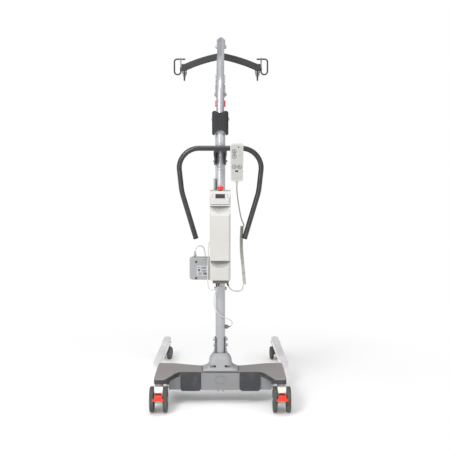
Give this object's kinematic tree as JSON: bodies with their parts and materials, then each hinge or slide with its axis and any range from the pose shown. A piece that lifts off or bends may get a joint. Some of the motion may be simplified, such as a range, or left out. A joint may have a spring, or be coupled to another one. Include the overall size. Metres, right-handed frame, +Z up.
{
  "type": "patient lift hoist",
  "caption": "Mobile patient hoist: wheeled base with spreading legs, mast, lifting boom with sling spreader bar, push handle, battery unit and corded hand control.",
  "frame": {"origin": "on the floor, at the middle of the footprint", "axes": "+Z up, +Y forward along the legs and the boom, +X to the right of an attendant behind the mast"},
  "size_m": [0.7216, 1.14, 1.8671],
  "materials": {
    "silver_paint": "satin",
    "leg_paint": "satin",
    "steel_grey": "satin",
    "handle_paint": "semi-gloss",
    "charcoal_paint": "matte",
    "black_metal": "matte",
    "zinc": "brushed",
    "cover_grey": "fine texture",
    "light_plastic": "fine texture",
    "ivory_plastic": "satin",
    "handset_plastic": "fine texture",
    "black_plastic": "satin",
    "red_plastic": "satin",
    "dark_rubber": "matte",
    "tyre": "matte",
    "cord_grey": "satin",
    "cord_white": "satin"
  },
  "bodies": {
    "base": {"base_frame": "steel_grey", "base_cover": "cover_grey", "rubber_bumpers": "dark_rubber", "centre_plate": "steel_grey", "mast_cover": "light_plastic", "mast_socket": "black_metal", "mast_tube": "silver_paint", "chassis_fasteners": "zinc", "mast_head_fork": "steel_grey", "mast_head_shroud": "black_plastic", "boom_pivot_pin": "zinc", "push_handle": "handle_paint", "handle_bracket": "black_metal", "mast_brackets": "steel_grey", "control_box": "ivory_plastic", "handset_cord_lead": "cord_grey", "handset_cord_coil": "cord_grey", "handset_cord_tail": "cord_grey", "handset_plug": "black_plastic", "lift_motor_lead": "cord_white", "leg_motor_lead": "cord_white", "lead_connectors": "black_plastic"},
    "battery": {"battery_pack": "ivory_plastic"},
    "emergency_stop": {"emergency_stop_button": "red_plastic"},
    "handset": {"handset_shell": "handset_plastic"},
    "boom": {"boom_tube": "silver_paint", "boom_brackets": "silver_paint"},
    "hanger": {"hanger_link": "zinc"},
    "spreader": {"spreader_bar": "charcoal_paint", "spreader_hooks": "charcoal_paint"},
    "lift_actuator": {"lift_actuator_housing": "light_plastic", "lift_actuator_tube": "silver_paint"},
    "lift_rod": {"lift_actuator_rod": "zinc"},
    "lowering_sleeve": {"lowering_ring": "red_plastic"},
    "leg_actuator": {"leg_actuator_housing": "black_plastic"},
    "leg_rod": {"leg_actuator_rod": "zinc"},
    "key_up": {"handset_button_up": "handset_plastic"},
    "key_down": {"handset_button_down": "handset_plastic"},
    "key_open": {"handset_button_open": "handset_plastic"},
    "key_close": {"handset_button_close": "handset_plastic"},
    "leg_left": {"leg_left": "leg_paint"},
    "leg_right": {"leg_right": "leg_paint"},
    "outer_gate_left": {"outer_hook_gate_left": "zinc"},
    "lower_gate_left": {"lower_hook_gate_left": "zinc"},
    "rear_caster_left": {"rear_caster_housing_left": "light_plastic"},
    "rear_wheel_inner_left": {"rear_wheel_inner_left": "tyre"},
    "rear_wheel_outer_left": {"rear_wheel_outer_left": "tyre"},
    "brake_pedal_left": {"brake_pedal_left": "red_plastic"},
    "front_caster_left": {"front_caster_housing_left": "light_plastic"},
    "front_wheel_inner_left": {"front_wheel_inner_left": "tyre"},
    "front_wheel_outer_left": {"front_wheel_outer_left": "tyre"},
    "outer_gate_right": {"outer_hook_gate_right": "zinc"},
    "lower_gate_right": {"lower_hook_gate_right": "zinc"},
    "rear_caster_right": {"rear_caster_housing_right": "light_plastic"},
    "rear_wheel_inner_right": {"rear_wheel_inner_right": "tyre"},
    "rear_wheel_outer_right": {"rear_wheel_outer_right": "tyre"},
    "brake_pedal_right": {"brake_pedal_right": "red_plastic"},
    "front_caster_right": {"front_caster_housing_right": "light_plastic"},
    "front_wheel_inner_right": {"front_wheel_inner_right": "tyre"},
    "front_wheel_outer_right": {"front_wheel_outer_right": "tyre"}
  },
  "joints": [
    {"name": "boom_lift", "type": "hinge", "parent": "base", "child": "boom", "pos_m": [0, -0.292, 1.411], "axis": [1, 0, 0], "range_deg": [-70, 0]},
    {"name": "hanger_level", "type": "hinge", "parent": "boom", "child": "hanger", "pos_m": [0, 0.546, 1.812], "axis": [1, 0, 0], "range_deg": [0, 70]},
    {"name": "spreader_swivel", "type": "hinge", "parent": "hanger", "child": "spreader", "pos_m": [0, 0.546, 1.76], "axis": [0, 0, 1], "continuous": true},
    {"name": "lift_actuator_tilt", "type": "hinge", "parent": "base", "child": "lift_actuator", "pos_m": [0, -0.22, 0.557], "axis": [1, 0, 0], "range_deg": [-2.71, 0.01]},
    {"name": "lift_rod_slide", "type": "slide", "parent": "lift_actuator", "child": "lift_rod", "axis": [0, 0.0696, 0.9976], "range_m": [-0.20841, 0.0001]},
    {"name": "lowering_ring_turn", "type": "hinge", "parent": "lift_rod", "child": "lowering_sleeve", "pos_m": [0, -0.152, 1.532], "axis": [0, 0.0696, 0.9976], "continuous": true},
    {"name": "leg_spread_left", "type": "hinge", "parent": "base", "child": "leg_left", "pos_m": [-0.272, -0.242, 0.1], "axis": [0, 0, 1], "range_deg": [0, 13]},
    {"name": "leg_spread_right", "type": "hinge", "parent": "base", "child": "leg_right", "pos_m": [0.272, -0.242, 0.1], "axis": [0, 0, 1], "range_deg": [-13, 0]},
    {"name": "leg_actuator_turn", "type": "hinge", "parent": "leg_left", "child": "leg_actuator", "pos_m": [-0.272, -0.302, 0.1], "axis": [0, 0, 1], "range_deg": [-13, 0]},
    {"name": "leg_rod_slide", "type": "slide", "parent": "leg_actuator", "child": "leg_rod", "axis": [1, 0, 0], "range_m": [-0.02709, 0.0001]},
    {"name": "outer_gate_left", "type": "hinge", "parent": "spreader", "child": "outer_gate_left", "pos_m": [-0.2295, 0.546, 1.703], "axis": [0, -1, 0], "range_deg": [0, 30], "stiffness_Nm_per_rad": 0.05, "springref_deg": -22.92},
    {"name": "lower_gate_left", "type": "hinge", "parent": "spreader", "child": "lower_gate_left", "pos_m": [-0.209, 0.558, 1.667], "axis": [-1, 0, 0], "range_deg": [0, 25], "stiffness_Nm_per_rad": 0.05, "springref_deg": -22.92},
    {"name": "rear_caster_swivel_left", "type": "hinge", "parent": "base", "child": "rear_caster_left", "pos_m": [-0.298, -0.467, 0.14], "axis": [0, 0, 1], "continuous": true},
    {"name": "rear_wheel_inner_left", "type": "hinge", "parent": "rear_caster_left", "child": "rear_wheel_inner_left", "pos_m": [-0.298, -0.492, 0.0625], "axis": [1, 0, 0], "continuous": true},
    {"name": "rear_wheel_outer_left", "type": "hinge", "parent": "rear_caster_left", "child": "rear_wheel_outer_left", "pos_m": [-0.298, -0.492, 0.0625], "axis": [1, 0, 0], "continuous": true},
    {"name": "brake_pedal_left", "type": "hinge", "parent": "rear_caster_left", "child": "brake_pedal_left", "pos_m": [-0.298, -0.505, 0.084], "axis": [1, 0, 0], "range_deg": [0, 10]},
    {"name": "front_caster_swivel_left", "type": "hinge", "parent": "leg_left", "child": "front_caster_left", "pos_m": [-0.315, 0.53, 0.086], "axis": [0, 0, 1], "continuous": true},
    {"name": "front_wheel_inner_left", "type": "hinge", "parent": "front_caster_left", "child": "front_wheel_inner_left", "pos_m": [-0.32106, 0.50885, 0.0375], "axis": [0.9613, -0.2756, 0], "continuous": true},
    {"name": "front_wheel_outer_left", "type": "hinge", "parent": "front_caster_left", "child": "front_wheel_outer_left", "pos_m": [-0.32106, 0.50885, 0.0375], "axis": [0.9613, -0.2756, 0], "continuous": true},
    {"name": "outer_gate_right", "type": "hinge", "parent": "spreader", "child": "outer_gate_right", "pos_m": [0.2295, 0.546, 1.703], "axis": [0, 1, 0], "range_deg": [0, 30], "stiffness_Nm_per_rad": 0.05, "springref_deg": -22.92},
    {"name": "lower_gate_right", "type": "hinge", "parent": "spreader", "child": "lower_gate_right", "pos_m": [0.209, 0.558, 1.667], "axis": [-1, 0, 0], "range_deg": [0, 25], "stiffness_Nm_per_rad": 0.05, "springref_deg": -22.92},
    {"name": "rear_caster_swivel_right", "type": "hinge", "parent": "base", "child": "rear_caster_right", "pos_m": [0.298, -0.467, 0.14], "axis": [0, 0, 1], "continuous": true},
    {"name": "rear_wheel_inner_right", "type": "hinge", "parent": "rear_caster_right", "child": "rear_wheel_inner_right", "pos_m": [0.298, -0.492, 0.0625], "axis": [1, 0, 0], "continuous": true},
    {"name": "rear_wheel_outer_right", "type": "hinge", "parent": "rear_caster_right", "child": "rear_wheel_outer_right", "pos_m": [0.298, -0.492, 0.0625], "axis": [1, 0, 0], "continuous": true},
    {"name": "brake_pedal_right", "type": "hinge", "parent": "rear_caster_right", "child": "brake_pedal_right", "pos_m": [0.298, -0.505, 0.084], "axis": [1, 0, 0], "range_deg": [0, 10]},
    {"name": "front_caster_swivel_right", "type": "hinge", "parent": "leg_right", "child": "front_caster_right", "pos_m": [0.315, 0.53, 0.086], "axis": [0, 0, 1], "continuous": true},
    {"name": "front_wheel_inner_right", "type": "hinge", "parent": "front_caster_right", "child": "front_wheel_inner_right", "pos_m": [0.3173, 0.50812, 0.0375], "axis": [0.9945, 0.1045, 0], "continuous": true},
    {"name": "front_wheel_outer_right", "type": "hinge", "parent": "front_caster_right", "child": "front_wheel_outer_right", "pos_m": [0.3173, 0.50812, 0.0375], "axis": [0.9945, 0.1045, 0], "continuous": true},
    {"name": "battery_slide", "type": "slide", "parent": "base", "child": "battery", "axis": [0, -1, 0], "range_m": [0, 0.06]},
    {"name": "emergency_stop_push", "type": "slide", "parent": "base", "child": "emergency_stop", "axis": [0, 0, -1], "range_m": [0, 0.004], "stiffness_N_per_m": 400, "springref_m": -0.003},
    {"name": "handset_lift_off", "type": "slide", "parent": "base", "child": "handset", "axis": [0, 0, 1], "range_m": [0, 0.03]},
    {"name": "handset_key_up", "type": "slide", "parent": "handset", "child": "key_up", "axis": [0, 1, 0], "range_m": [0, 0.0012], "stiffness_N_per_m": 300, "springref_m": -0.001},
    {"name": "handset_key_down", "type": "slide", "parent": "handset", "child": "key_down", "axis": [0, 1, 0], "range_m": [0, 0.0012], "stiffness_N_per_m": 300, "springref_m": -0.001},
    {"name": "handset_key_open", "type": "slide", "parent": "handset", "child": "key_open", "axis": [0, 1, 0], "range_m": [0, 0.0012], "stiffness_N_per_m": 300, "springref_m": -0.001},
    {"name": "handset_key_close", "type": "slide", "parent": "handset", "child": "key_close", "axis": [0, 1, 0], "range_m": [0, 0.0012], "stiffness_N_per_m": 300, "springref_m": -0.001}
  ],
  "couplings": [
    {"joint": "hanger_level", "follows": "boom_lift", "ratio": -1},
    {"joint": "lift_actuator_tilt", "follows": "boom_lift", "ratio": 0.038569},
    {"joint": "lift_rod_slide", "follows": "boom_lift", "m_per_rad": 0.1705},
    {"joint": "leg_spread_right", "follows": "leg_spread_left", "ratio": -1},
    {"joint": "leg_actuator_turn", "follows": "leg_spread_left", "ratio": -1},
    {"joint": "leg_rod_slide", "follows": "leg_spread_left", "m_per_rad": -0.11897}
  ]
}
